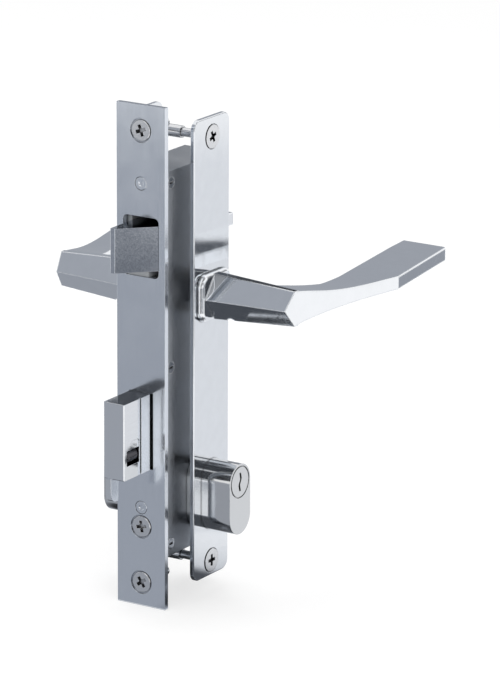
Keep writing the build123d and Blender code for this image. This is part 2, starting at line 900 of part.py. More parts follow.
with BuildPart() as outer_plug_clip:
    rod_x(backset, plug_z, clip_diameter / 2, clip_start, clip_start + clip_thickness)
    rod_x(
        backset,
        plug_z,
        plug_radius - clip_groove_depth,
        clip_start,
        clip_start + clip_thickness,
        Mode.SUBTRACT,
    )
    box_between(
        (clip_start, backset - clip_mouth / 2, plug_z - clip_diameter),
        (clip_start + clip_thickness, backset + clip_mouth / 2, plug_z),
        Mode.SUBTRACT,
    )
save(outer_plug_clip, "outer_plug_clip")

with BuildPart() as outer_key_pins:
    for x in pin_places:
        rod_z(x, backset, pin_diameter / 2, plug_z - plug_radius + key_pin_inset, key_pin_top)
save(outer_key_pins, "outer_key_pins")

with BuildPart() as driver_pins:
    driver_top = plug_z - plug_radius - plug_clearance - driver_inset
    for x in pin_places:
        for side in (-1, 1):
            rod_z(side * x, backset, pin_diameter / 2, driver_top - driver_pin_length, driver_top)
save(driver_pins, "driver_pins")

with BuildPart() as inner_plug:
    mirror(outer_plug.part, about=Plane.YZ)
save(inner_plug, "inner_plug")

with BuildPart() as inner_plug_clip:
    mirror(outer_plug_clip.part, about=Plane.YZ)
save(inner_plug_clip, "inner_plug_clip")

with BuildPart() as inner_key_pins:
    mirror(outer_key_pins.part, about=Plane.YZ)
save(inner_key_pins, "inner_key_pins")

nose_distance = cam_reach - cam_nose_radius
cam_angle = 90 + cam_half_turn

with BuildPart() as cylinder_cam:
    with BuildSketch(side_plane(-cam_width / 2, backset, plug_z)):
        Circle(cam_hub_diameter / 2)
        with PolarLocations(nose_distance / 2, 1, start_angle=cam_angle):
            Rectangle(nose_distance, cam_stalk_width)
        with PolarLocations(nose_distance, 1, start_angle=cam_angle):
            Circle(cam_nose_radius)
        Circle(clutch_diameter / 2, mode=Mode.SUBTRACT)
    extrude(amount=cam_width)
save(cylinder_cam, "cylinder_cam")

with BuildPart() as cam_clutch:
    rod_x(backset, plug_z, clutch_diameter / 2, -clutch_length / 2, clutch_length / 2)
save(cam_clutch, "cam_clutch")

# Back plates
head_face_x = plate_face + plate_head_proud
head_seat_x = head_face_x - plate_head_height
plate_screw_places = (plate_screw_top_z, plate_screw_bottom_z)


def back_plate(seat_radius):
    """Outer back plate with its edges eased and its holes cut; seat_radius is under the screw heads."""
    centre_y = (plate_front_y + plate_back_y) / 2
    centre_z = (plate_top + plate_bottom) / 2
    with BuildPart() as plate:
        with BuildSketch(side_plane(door_face, centre_y, centre_z)):
            RectangleRounded(plate_back_y - plate_front_y, plate_top - plate_bottom, plate_corner)
        extrude(amount=plate_thickness)
        front_face = plate.faces().sort_by(Axis.X)[-1]
        fillet(front_face.edges(), plate_edge)
        rod_x(backset, 0, bearing_outer / 2, door_face, plate_face, Mode.SUBTRACT)
        oval_between(door_face, plate_face, Mode.SUBTRACT)
        for z in plate_screw_places:
            cone_x(
                backset, z, plate_head_diameter / 2, seat_radius, head_face_x, head_seat_x, Mode.SUBTRACT
            )
            ring_radius = plate_head_diameter / 2 + head_gap
            rod_x(backset, z, ring_radius, plate_face - head_gap_depth, plate_face, Mode.SUBTRACT)
    return plate


outer_plate = back_plate(plate_screw_diameter / 2)
save(outer_plate, "outer_plate")

sleeved_plate = back_plate(sleeve_diameter / 2)
with BuildPart() as inner_plate:
    mirror(sleeved_plate.part, about=Plane.YZ)
save(inner_plate, "inner_plate")

with BuildPart() as plate_screws:
    for z, turn in zip(plate_screw_places, plate_screw_turns):
        cone_x(
            backset, z, plate_head_diameter / 2, plate_screw_diameter / 2, head_face_x, head_seat_x
        )
        rod_x(backset, z, plate_screw_diameter / 2, head_face_x - plate_screw_length, head_seat_x)
        cross_recess_x(backset, z, head_face_x, turn)
save(plate_screws, "plate_screws")

with BuildPart() as plate_sleeves:
    for z, turn in zip(plate_screw_places, sleeve_turns):
        cone_x(
            backset, z, plate_head_diameter / 2, sleeve_diameter / 2, -head_face_x, -head_seat_x
        )
        rod_x(backset, z, sleeve_diameter / 2, -head_seat_x, -head_face_x + sleeve_length)
        rod_x(
            backset,
            z,
            plate_screw_diameter / 2,
            head_face_x - plate_screw_length,
            -head_face_x + sleeve_length,
            Mode.SUBTRACT,
        )
        cross_recess_x(backset, z, -head_face_x, turn)
save(plate_sleeves, "plate_sleeves")

# Lever bearings and circlips
bearing_x = door_face - bearing_behind_plate
circlip_x = bearing_x - circlip_gap - circlip_thickness
circlip_inner_radius = shank_diameter / 2 - circlip_groove_depth

with BuildPart() as outer_bearing:
    rod_x(backset, 0, bearing_outer / 2, bearing_x, plate_face)
    rod_x(backset, 0, shank_diameter / 2 + bearing_clearance, bearing_x, plate_face, Mode.SUBTRACT)
save(outer_bearing, "outer_bearing")

with BuildPart() as inner_bearing:
    mirror(outer_bearing.part, about=Plane.YZ)
save(inner_bearing, "inner_bearing")

with BuildPart() as outer_circlip:
    rod_x(backset, 0, circlip_diameter / 2, circlip_x, circlip_x + circlip_thickness)
    rod_x(backset, 0, circlip_inner_radius, circlip_x, circlip_x + circlip_thickness, Mode.SUBTRACT)
    box_between(
        (circlip_x, backset - circlip_mouth / 2, -circlip_diameter),
        (circlip_x + circlip_thickness, backset + circlip_mouth / 2, 0),
        Mode.SUBTRACT,
    )
save(outer_circlip, "outer_circlip")

with BuildPart() as inner_circlip:
    mirror(outer_circlip.part, about=Plane.YZ)
save(inner_circlip, "inner_circlip")

# Lever handles: flat faceted blade, six-sided neck, square collar and round shank
neck_start_x = lever_start + collar_depth
blade_front = Plane(
    origin=(neck_end_x, backset, 0),
    z_dir=(blade_crest_y, neck_end_x - blade_crest_x, 0),
)


def neck_section(x, half_width, half_height, flat_low, flat_high):
    """Six-sided neck section: points at mid height, flats above and below."""
    with BuildSketch(side_plane(x, backset, 0)) as section:
        with BuildLine():
            Polyline(
                (-half_width, 0),
                (flat_low, half_height),
                (flat_high, half_height),
                (half_width, 0),
                (flat_high, -half_height),
                (flat_low, -half_height),
                close=True,
            )
        make_face()
    return section.sketch


with BuildPart() as outer_lever:
    with BuildSketch(Plane.XY.offset(-neck_start_half_height)):
        with BuildLine():
            Polyline(
                (neck_end_x, backset),
                (blade_crest_x, backset + blade_crest_y),
                (blade_tip_outer_x, backset + blade_tip_y),
                (blade_tip_inner_x, backset + blade_tip_y),
                (blade_inner_end_x, backset + blade_inner_end_y),
                (blade_waist_x, backset + blade_waist_y),
                (blade_throat_x, backset + blade_throat_y),
                (blade_root_x, backset + blade_root_y),
                (blade_root_x, backset),
                close=True,
            )
        make_face()
    extrude(amount=2 * neck_start_half_height)
    with BuildSketch(side_plane(0, backset, 0)):
        with BuildLine():
            Spline(
                (0, neck_end_half_height),
                (blade_bend_y, blade_bend_upper_z),
                (blade_waist_y, blade_upper_z),
                tangents=((1, -blade_upper_start_slope), (1, 0)),
            )
            Polyline(
                (blade_waist_y, blade_upper_z),
                (blade_tip_y + overlap, blade_upper_z),
                (blade_tip_y + overlap, blade_lower_tip_z),
                (blade_crest_y, blade_lower_crest_z),
            )
            Spline(
                (blade_crest_y, blade_lower_crest_z),
                (blade_bend_y, blade_bend_lower_z),
                (0, -neck_end_half_height),
                tangents=((-1, 0), (-1, -blade_lower_end_slope)),
            )
            Line((0, -neck_end_half_height), (0, neck_end_half_height))
        make_face()
    extrude(amount=blade_crest_x + overlap, mode=Mode.INTERSECT)
    tip_corner = outer_lever.edges().filter_by(Axis.Z).sort_by(Axis.X).filter_by_position(
        Axis.Y, backset + blade_tip_y - blade_edge, backset + blade_tip_y + blade_edge
    )[-1]
    fillet(tip_corner, blade_tip_round)
    fillet(outer_lever.edges().filter_by(lambda edge: edge.center().Y > backset + blade_edge), blade_edge)
    neck_start = neck_section(
        neck_start_x - overlap,
        neck_start_half_width,
        neck_start_half_height,
        -neck_start_flat / 2,
        neck_start_flat / 2,
    )
    neck_end = neck_section(
        neck_end_x, neck_end_half_width, neck_end_half_height, neck_end_flat_front, neck_end_flat_back
    )
    loft([neck_start, neck_end], ruled=True)
    split(bisect_by=blade_front, keep=Keep.BOTTOM)
    with BuildPart(mode=Mode.PRIVATE) as collar:
        with BuildSketch(side_plane(lever_start, backset, 0)):
            RectangleRounded(collar_width, collar_height, collar_corner)
        extrude(amount=collar_depth)
        fillet(collar.faces().sort_by(Axis.X)[-1].edges(), collar_round)
    add(collar.part)
    rod_x(backset, 0, shank_diameter / 2, shank_end_x, lever_start)
    rod_x(backset, 0, shank_diameter / 2, circlip_x, circlip_x + circlip_thickness, Mode.SUBTRACT)
    rod_x(backset, 0, circlip_inner_radius, circlip_x, circlip_x + circlip_thickness)
    box_between(
        (shank_end_x, backset - spindle_size / 2, -spindle_size / 2),
        (spindle_reach, backset + spindle_size / 2, spindle_size / 2),
        Mode.SUBTRACT,
    )
    rod_z(grub_x, backset, grub_diameter / 2, -neck_start_half_height, -spindle_size / 2, Mode.SUBTRACT)
save(outer_lever, "outer_lever")

with BuildPart() as inner_lever:
    mirror(outer_lever.part, about=Plane.YZ)
save(inner_lever, "inner_lever")

with BuildPart() as outer_grub_screw:
    rod_z(grub_x, backset, grub_diameter / 2, -neck_end_half_height - grub_inset, -spindle_size / 2)
    with BuildSketch(Plane.XY.offset(-neck_end_half_height - grub_inset)):
        with Locations((grub_x, backset)):
            RegularPolygon(grub_socket_radius, 6)
    extrude(amount=grub_diameter / 2, mode=Mode.SUBTRACT)
save(outer_grub_screw, "outer_grub_screw")

with BuildPart() as inner_grub_screw:
    mirror(outer_grub_screw.part, about=Plane.YZ)
save(inner_grub_screw, "inner_grub_screw")
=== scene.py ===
# %% [markdown]
# # A narrow door lock with two lever handles
# The object is a mortice lock: a long steel forend that is let into the edge of a door, a latch and a hooked
# dead bolt that come out through it, two chromed back plates with lever handles, and a key cylinder through
# both plates. Nearly every surface is metal, so this lesson is mostly about metal: what it reflects, how a
# polished plate differs from a rolled strip, and how small machining marks make a surface look real. The
# pieces arrive as finished solids at their true size. Here they get a camera, a studio and their finishes.

# %% Load the lock
import json
import math

import bpy
from mathutils import Matrix, Vector


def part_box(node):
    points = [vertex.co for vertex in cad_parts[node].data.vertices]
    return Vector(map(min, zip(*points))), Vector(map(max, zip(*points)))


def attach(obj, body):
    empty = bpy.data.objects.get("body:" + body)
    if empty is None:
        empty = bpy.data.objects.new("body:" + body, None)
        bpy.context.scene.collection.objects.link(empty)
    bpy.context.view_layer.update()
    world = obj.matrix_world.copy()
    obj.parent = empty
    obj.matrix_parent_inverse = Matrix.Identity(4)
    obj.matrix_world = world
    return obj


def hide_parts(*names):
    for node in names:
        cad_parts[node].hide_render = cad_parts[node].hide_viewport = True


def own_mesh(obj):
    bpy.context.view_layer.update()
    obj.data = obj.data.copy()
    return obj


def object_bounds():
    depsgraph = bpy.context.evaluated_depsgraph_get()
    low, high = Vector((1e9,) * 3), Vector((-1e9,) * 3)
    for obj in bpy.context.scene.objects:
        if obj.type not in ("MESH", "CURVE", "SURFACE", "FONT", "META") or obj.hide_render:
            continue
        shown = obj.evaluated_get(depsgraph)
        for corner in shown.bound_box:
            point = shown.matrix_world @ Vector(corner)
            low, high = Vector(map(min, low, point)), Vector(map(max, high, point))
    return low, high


mm_per_m = 1000

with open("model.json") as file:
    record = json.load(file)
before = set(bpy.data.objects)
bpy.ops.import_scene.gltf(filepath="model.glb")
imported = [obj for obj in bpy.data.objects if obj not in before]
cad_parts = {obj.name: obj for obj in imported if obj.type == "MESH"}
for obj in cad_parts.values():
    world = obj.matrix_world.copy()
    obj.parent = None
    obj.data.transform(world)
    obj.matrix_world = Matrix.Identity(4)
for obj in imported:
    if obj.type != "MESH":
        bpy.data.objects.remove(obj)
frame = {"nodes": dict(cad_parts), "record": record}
nodes = frame["nodes"]
solid_low, solid_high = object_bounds()
print("size in mm:", [round(mm_per_m * side, 1) for side in solid_high - solid_low])

# %% [markdown]
# ## The camera
# A product picture like this one is taken with a long lens from well over a metre away, so that the upright
# edges stay almost parallel. Two angles say where the camera stands: how far it has gone round the lock, and
# how steeply it looks down. The lens doesn't point at the lock's middle in the picture, so the camera is
# turned by about one more degree on its own upright axis. The other way would be to shift the lens sideways.
# Turning was chosen because the lock then stays centred when the camera is moved to another side.

# %% Place the camera
round_angle = math.radians(33.473)
down_angle = math.radians(16.142)
turn_right = math.radians(1.1003)
camera_place = Vector((1.08883, -1.63013, 0.54632))
lens_mm = 237.59
sensor_mm = 36.0
nearest_seen_m = 0.05
farthest_seen_m = 50.0

camera_data = bpy.data.cameras.new("camera")
camera_data.sensor_width = sensor_mm
camera_data.lens = lens_mm
camera_data.clip_start = nearest_seen_m
camera_data.clip_end = farthest_seen_m
camera = bpy.data.objects.new("camera", camera_data)
bpy.context.scene.collection.objects.link(camera)
round_turn = Matrix.Rotation(round_angle, 4, "Z")
tip_down = Matrix.Rotation(math.pi / 2 - down_angle, 4, "X")
own_turn = Matrix.Rotation(-turn_right, 4, "Y")
camera.matrix_world = Matrix.Translation(camera_place) @ round_turn @ tip_down @ own_turn
bpy.context.scene.camera = camera
print("camera distance in m:", round(camera_place.length, 3), "lens in mm:", lens_mm)

# %% [markdown]
# ## Building shaders from small steps
# Every finish below is a handful of shader nodes. Wiring them in the node editor is the usual way. In a
# script the same wiring gets long, so one helper makes a node, sets its options and either types a number
# into an input or joins another node's output to it. Reading a finish is then reading a list of what feeds
# what.

# %% A helper that adds one shader node
def put(tree, kind, feed=None, **options):
    """Add a node. Options are its settings; feed gives its inputs, by name or by number."""
    made = tree.nodes.new(kind)
    for option, choice in options.items():
        setattr(made, option, choice)
    for key, value in (feed or {}).items():
        socket = made.inputs[key]
        if isinstance(value, bpy.types.NodeSocket):
            tree.links.new(value, socket)
        else:
            socket.default_value = value
    return made


# %% [markdown]
# ## The floor
# The lock stands on a pale floor that runs out to a white background. If the floor were lit until it turned
# white, the metal would be burnt out too. So the floor adds a little light of its own, but only where it is
# looked at, directly or in a reflection. It still receives light and shadow, so the lock keeps its shadow.
# Light that bounces off it on its way to a dull piece finds a plain grey floor that adds nothing.

# %% Tell looking rays from lighting rays
def seen_directly(tree):
    """1 for rays that look at a surface from the camera, in a reflection or through glass."""
    rays = put(tree, "ShaderNodeLightPath").outputs
    either = put(tree, "ShaderNodeMath", {0: rays["Is Camera Ray"], 1: rays["Is Glossy Ray"]},
                 operation="MAXIMUM")
    any_of_them = put(tree, "ShaderNodeMath", {0: either.outputs[0], 1: rays["Is Transmission Ray"]},
                      operation="MAXIMUM")
    return any_of_them.outputs[0]


def flat_grey(grey):
    """A plain colour of one grey, as Blender stores colours."""
    return (grey, grey, grey, 1.0)


# %% A flat sheet of the studio
def studio_card(name, half_width, half_height, place, normal, along=(0, 1, 0)):
    """A flat sheet. It faces along its normal, and its height runs along a direction."""
    corners = [(-half_width, -half_height, 0), (half_width, -half_height, 0),
               (half_width, half_height, 0), (-half_width, half_height, 0)]
    mesh = bpy.data.meshes.new(name)
    mesh.from_pydata(corners, [], [(0, 1, 2, 3)])
    card = bpy.data.objects.new(name, mesh)
    bpy.context.scene.collection.objects.link(card)
    outwards = Vector(normal).normalized()
    sideways = Vector(along).cross(outwards).normalized()
    upwards = outwards.cross(sideways)
    facing = Matrix((sideways, upwards, outwards)).transposed().to_4x4()
    card.matrix_world = Matrix.Translation(Vector(place)) @ facing
    return card


# %% Make the floor
floor_half_m = 12.0
floor_glow = 0.66
floor_grey = 0.42
bounce_grey = 0.62

floor_paint = bpy.data.materials.new("floor_paint")
floor_paint.use_nodes = True
floor_tree = floor_paint.node_tree
floor_tree.nodes.clear()
floor_lit = put(floor_tree, "ShaderNodeBsdfDiffuse", {"Color": flat_grey(floor_grey)})
floor_shine = put(floor_tree, "ShaderNodeEmission", {"Color": flat_grey(1.0), "Strength": floor_glow})
floor_seen = put(floor_tree, "ShaderNodeAddShader", {0: floor_lit.outputs[0], 1: floor_shine.outputs[0]})
floor_bounce = put(floor_tree, "ShaderNodeBsdfDiffuse", {"Color": flat_grey(bounce_grey)})
floor_choice = put(floor_tree, "ShaderNodeMixShader",
                   {0: seen_directly(floor_tree), 1: floor_bounce.outputs[0], 2: floor_seen.outputs[0]})
put(floor_tree, "ShaderNodeOutputMaterial", {"Surface": floor_choice.outputs[0]})
floor = studio_card("floor", floor_half_m, floor_half_m, (0, 0, solid_low.z), (0, 0, 1))
floor.data.materials.append(floor_paint)
print("floor height in mm:", round(mm_per_m * solid_low.z, 1), "half width in m:", floor_half_m)

# %% [markdown]
# ## The background
# A metal thing shows its surroundings, so an empty black world would make it black. The world here is a
# plain pale one: white where it is looked at or reflected, and softer where it only lights the pieces. A
# photograph of a room wrapped round the scene would also do, but then its windows and furniture would show
# in the chrome.

# %% Make the world
world_light = 0.55
wall_white = 1.0

world = bpy.data.worlds.new("studio")
bpy.context.scene.world = world
world.use_nodes = True
world_tree = world.node_tree
world_tree.nodes.clear()
soft_fill = put(world_tree, "ShaderNodeBackground", {"Color": flat_grey(1.0), "Strength": world_light})
white_wall = put(world_tree, "ShaderNodeBackground", {"Color": flat_grey(1.0), "Strength": wall_white})
world_choice = put(world_tree, "ShaderNodeMixShader",
                   {0: seen_directly(world_tree), 1: soft_fill.outputs[0], 2: white_wall.outputs[0]})
put(world_tree, "ShaderNodeOutputWorld", {"Surface": world_choice.outputs[0]})
bpy.context.scene.view_settings.view_transform = "Standard"
print("world light:", world_light, "seen as:", wall_white)

# %% [markdown]
# ## The lamps
# Two large soft lamps are enough: one above and to the left, for the top faces and a shadow, and a weaker
# one from the right, so that the shadow side doesn't close up. They light the floor and the dull pieces, but
# stay out of the mirror images: a lamp is several times as bright as white card, and would burn out every
# polished face that looks its way. What the chrome shows comes from the cards in the next step.

# %% Hang the lamps
def soft_lamp(name, place, aim, width, power):
    """A square area lamp that looks at a point, with its width in metres and its power in watts."""
    lamp_data = bpy.data.lights.new(name, "AREA")
    lamp_data.size = width
    lamp_data.energy = power
    lamp = bpy.data.objects.new(name, lamp_data)
    bpy.context.scene.collection.objects.link(lamp)
    away = Vector(place) - Vector(aim)
    turn = away.to_track_quat("Z", "Y").to_matrix().to_4x4()
    lamp.matrix_world = Matrix.Translation(Vector(place)) @ turn
    lamp.visible_glossy = False
    return lamp


middle = (solid_low + solid_high) / 2
key_lamp = soft_lamp("key_lamp", (-0.25, 0.15, 1.7), middle, width=1.0, power=15.0)
side_lamp = soft_lamp("side_lamp", (1.5, -1.1, 0.9), middle, width=0.9, power=6.0)
for lamp in (key_lamp, side_lamp):
    print(lamp.name, "power in W:", lamp.data.energy)

# %% [markdown]
# ## Cards for the chrome to reflect
# Polished metal in an all-white room looks like white paper. Photographers stand grey and black cards just
# outside the picture, and the chrome draws itself with their reflections. The cards here are thin sheets
# that only reflections can see. They fade out at their rims, so that no hard line crosses the metal, and
# their grey is a cool one, like card in daylight. A card glows by itself, so its tone doesn't depend on the
# lamps.

# %% A card with a soft rim
tint_gain = 1.4
red_loss = 0.06
blue_gain = 0.12


def cool_grey(grey):
    """A grey that is bluer the darker it is, like card in daylight beside white card."""
    tint = min(1.0, tint_gain * (1.0 - grey))
    return (grey * (1.0 - red_loss * tint), grey, grey * (1.0 + blue_gain * tint), 1.0)


def rim_cover(tree, half_width, half_height, rim):
    """1 in the middle of a card, falling to 0 at its rim. The rim is a share of the half size."""
    place_on_card = put(tree, "ShaderNodeTexCoord").outputs["Object"]
    share = put(tree, "ShaderNodeVectorMath", {0: place_on_card, 1: (1 / half_width, 1 / half_height, 1)},
                operation="MULTIPLY")
    sides = put(tree, "ShaderNodeSeparateXYZ", {0: share.outputs[0]})
    cover = 1.0
    for side in sides.outputs[:2]:
        away = put(tree, "ShaderNodeMath", {0: side}, operation="ABSOLUTE")
        fade = put(tree, "ShaderNodeMapRange", {"Value": away.outputs[0], "From Min": 1.0 - rim,
                                                "From Max": 1.0, "To Min": 1.0, "To Max": 0.0},
                   interpolation_type="SMOOTHSTEP")
        cover = put(tree, "ShaderNodeMath", {0: cover, 1: fade.outputs[0]}, operation="MULTIPLY").outputs[0]
    return cover


def grey_card(name, grey, half_width, half_height, place, normal, along=(0, 1, 0), rim=0.3):
    """A card with a soft rim that shows in reflections only."""
    card = studio_card(name, half_width, half_height, place, normal, along)
    card.visible_camera = False
    card.visible_diffuse = False
    card.visible_transmission = False
    card.visible_shadow = False
    sheet = bpy.data.materials.new(name)
    sheet.use_nodes = True
    tree = sheet.node_tree
    tree.nodes.clear()
    cover = rim_cover(tree, half_width, half_height, rim)
    clear = put(tree, "ShaderNodeBsdfTransparent")
    toned = put(tree, "ShaderNodeEmission", {"Color": cool_grey(grey), "Strength": 1.0})
    mixed = put(tree, "ShaderNodeMixShader", {0: cover, 1: clear.outputs[0], 2: toned.outputs[0]})
    put(tree, "ShaderNodeOutputMaterial", {"Surface": mixed.outputs[0]})
    card.data.materials.append(sheet)
    return card


# %% [markdown]
# ## Cards that lie on the floor
# Each card belongs to one group of faces: a line of sight that hits such a face bounces off to the place
# where the card is. The camera looks down, so what hits an upright face goes on down to the floor beside the
# lock. The places were found by following that bounce, and each grey is the tone that the faces have in the
# picture. A second layer of cards lies a hair above the first, because two sheets at one height would
# flicker.

# %% Lay the flat cards
up = (0, 0, 1)
along_the_bounce = (0.55, 0.83, 0)
sheet_gap = 0.0005
first_layer = solid_low.z + sheet_gap
second_layer = solid_low.z + 2 * sheet_gap

# Each gives the grey, half the width, half the height, the place and the way the card faces.
flat_cards = [
    grey_card("edge_side_card", 0.39, 0.16, 0.62, (-0.31, -0.39, first_layer), up, along_the_bounce, 0.15),
    grey_card("bevel_side_card", 0.24, 0.16, 0.16, (0.50, -0.31, first_layer), up),
    grey_card("under_handle_card", 0.09, 0.10, 0.06, (0.105, 0.0, second_layer), up, rim=0.2),
    grey_card("under_lock_card", 0.03, 0.045, 0.03, (-0.015, 0.03, second_layer), up, rim=0.2),
    grey_card("under_far_handle_card", 0.35, 0.07, 0.10, (-0.145, 0.02, second_layer), up),
    grey_card("far_handle_card", 0.10, 0.09, 0.115, (-0.375, 0.575, first_layer), up, rim=0.05),
    grey_card("cylinder_front_card", 0.06, 0.08, 0.10, (0.232, -0.373, first_layer), up),
    grey_card("under_blade_card", 0.05, 0.045, 0.05, (0.18, 0.11, second_layer), up),
    grey_card("plate_side_card", 0.83, 0.12, 0.50, (0.273, 0.415, first_layer), up, along_the_bounce),
    grey_card("collar_card", 0.20, 0.14, 0.10, (0.55, 0.02, second_layer), up),
    grey_card("collar_side_card", 0.08, 0.14, 0.09, (0.20, -0.48, second_layer), up),
    grey_card("hook_side_card", 0.36, 0.016, 0.022, (0.100, -0.135, second_layer), up, rim=0.2),
    grey_card("handle_tip_card", 0.34, 0.09, 0.12, (0.215, 0.587, second_layer), up),
]
print("flat cards:", len(flat_cards))

# %% [markdown]
# ## Cards that stand or lean
# Bevels, facets and the round of the cylinder tilt, and throw the line of sight level or upwards. Their
# cards stand or lean beside the lock and face it. The small one behind the handle is mirrored by the outer
# plate and draws the dark band above the handle.

# %% Stand the cards
standing_cards = [
    grey_card("upper_front_card", 0.40, 0.60, 0.40, (-0.58, -0.58, 0.74), (0.53, 0.57, -0.62), up),
    grey_card("low_front_card", 0.06, 0.50, 0.20, (-0.66, -0.98, 0.30), (0.53, 0.80, -0.20), up),
    grey_card("overhead_card", 0.06, 0.24, 0.50, (0.48, -0.10, 0.70), (-0.5, 0.0, -0.8)),
    grey_card("front_right_card", 0.06, 0.28, 0.52, (0.56, -0.80, 0.22), (-0.5, 0.8, -0.2), up),
    grey_card("neck_top_card", 0.05, 0.14, 0.07, (-0.55, 0.99, 0.45), (0.48, -0.80, -0.35), up, rim=0.2),
    grey_card("behind_left_card", 0.38, 0.50, 0.42, (-0.70, 1.00, 0.25), (0.53, -0.80, -0.25), up),
    grey_card("blade_mirror_card", 0.12, 0.05, 0.038, (0.156, 0.237, 0.0837), (-0.53, -0.80, 0), up, 0.05),
    grey_card("collar_right_card", 0.10, 0.20, 0.20, (0.90, -0.31, 0.35), (-0.88, 0.31, -0.35), up),
]
print("standing cards:", len(standing_cards))

# %% [markdown]
# ## Cards far off
# The cards so far serve one camera. Someone who walks round the lock or looks down on it would see bare
# white in the chrome, so three large cards with very wide rims hang far off, overhead and at both sides.

# %% Hang the far cards
far_rim = 0.95
far_cards = [
    grey_card("ceiling_card", 0.34, 0.80, 0.80, (0.0, 0.25, 1.9), (0.0, 0.0, -1.0), rim=far_rim),
    grey_card("far_right_card", 0.42, 0.50, 0.60, (1.9, -0.25, 0.30), (-1.0, 0.0, 0.0), up, far_rim),
    grey_card("far_left_card", 0.42, 0.50, 0.60, (-1.9, -0.25, 0.30), (1.0, 0.0, 0.0), up, far_rim),
]
print("far cards:", len(far_cards))

# %% [markdown]
# ## Marks that follow the making
# Metal is never one even colour. A rolled strip has fine lines along its length, a casting has a soft
# ripple, a handled plate has faint smears. All of these can come from one noise texture: where its three
# sizes are alike it gives clouds, and where one size is much longer it gives lines along that direction. The
# noise is placed in metres on the piece itself, so it stays put when a handle turns. An image of scratches
# would need the pieces unwrapped first, and its scale would differ from piece to piece.

# %% Noise by size in millimetres
def marks(tree, size_x, size_y, size_z, detail=3.0):
    """Noise whose marks have these sizes in millimetres, as a factor from 0 to 1."""
    place = put(tree, "ShaderNodeTexCoord").outputs["Object"]
    per_metre = (mm_per_m / size_x, mm_per_m / size_y, mm_per_m / size_z)
    stretched = put(tree, "ShaderNodeMapping", {"Vector": place, "Scale": per_metre})
    noise = put(tree, "ShaderNodeTexNoise",
                {"Vector": stretched.outputs[0], "Scale": 1.0, "Detail": detail})
    return noise.outputs["Fac"]


def spread(tree, factor, low, high, start=0.3, end=0.7):
    """Stretch a factor, so that start gives low and end gives high."""
    feed = {"Value": factor, "From Min": start, "From Max": end, "To Min": low, "To Max": high}
    return put(tree, "ShaderNodeMapRange", feed).outputs[0]


def blend_colours(tree, factor, first, second):
    """The first colour where the factor is 0, the second where it is 1."""
    mixed = put(tree, "ShaderNodeMix", {0: factor, 6: first, 7: second}, data_type="RGBA")
    return mixed.outputs[2]


def darker(colour, share):
    """A colour taken down to a share of its brightness."""
    return (colour[0] * share, colour[1] * share, colour[2] * share, 1.0)


# %% [markdown]
# ## Edges that catch the light, and corners with painted shade
# No real edge is perfectly sharp, and the thin bright line on it is what the eye reads as metal. Modelling a
# tiny round on every edge is one way, but it makes the meshes heavy. The Bevel node does it in the shader:
# it bends the surface's normal near an edge. Comparing that bent normal with the plain one also says where
# the edges are, and rubbed edges can then be a little brighter. Ambient Occlusion does the opposite: it
# finds the corners and slots where light hardly gets in, and the colour is darkened there as painted shade.

# %% Edge and corner helpers
edge_samples = 4
slot_samples = 6
slot_shut = 0.15
slot_open = 0.85


def soft_edges(tree, radius_mm):
    """The normal, bent round the edges."""
    return put(tree, "ShaderNodeBevel", {"Radius": radius_mm / mm_per_m}, samples=edge_samples).outputs[0]


def edge_factor(tree, bent_normal, sharpness=0.12):
    """1 on an edge and 0 on an open face."""
    plain = put(tree, "ShaderNodeNewGeometry").outputs["Normal"]
    agree = put(tree, "ShaderNodeVectorMath", {0: bent_normal, 1: plain}, operation="DOT_PRODUCT")
    return spread(tree, agree.outputs["Value"], 1.0, 0.0, 1.0 - sharpness, 1.0)


def painted_shade_factor(tree, reach_mm, least=0.0):
    """1 on an open face, falling to the least value in narrow gaps and inner corners, for painted shade."""
    feed = {"Distance": reach_mm / mm_per_m}
    reached = put(tree, "ShaderNodeAmbientOcclusion", feed, samples=slot_samples, only_local=False)
    return spread(tree, reached.outputs["AO"], least, 1.0, slot_shut, slot_open)


def raised(tree, height, depth_mm, normal, strength=1.0):
    """A bump of a real depth, laid over a normal."""
    feed = {"Height": height, "Distance": depth_mm / mm_per_m, "Strength": strength, "Normal": normal}
    return put(tree, "ShaderNodeBump", feed).outputs[0]


# %% [markdown]
# ## One recipe for all the metals
# The metals differ in colour, polish and marks, but are put together alike: a colour with painted shade in
# the slots and brighter on rubbed edges, a roughness that wanders, and a fine bump. So the recipe is written
# once, and each metal below only says what its marks are. Colour and roughness matter most; the bump stays
# tiny, because a mirror shows a slope of a hundredth of a millimetre.

# %% The metal recipe
finishes = {}
cloud_detail = 2.0
smooth_sum = 0.75
rough_sum = 1.25


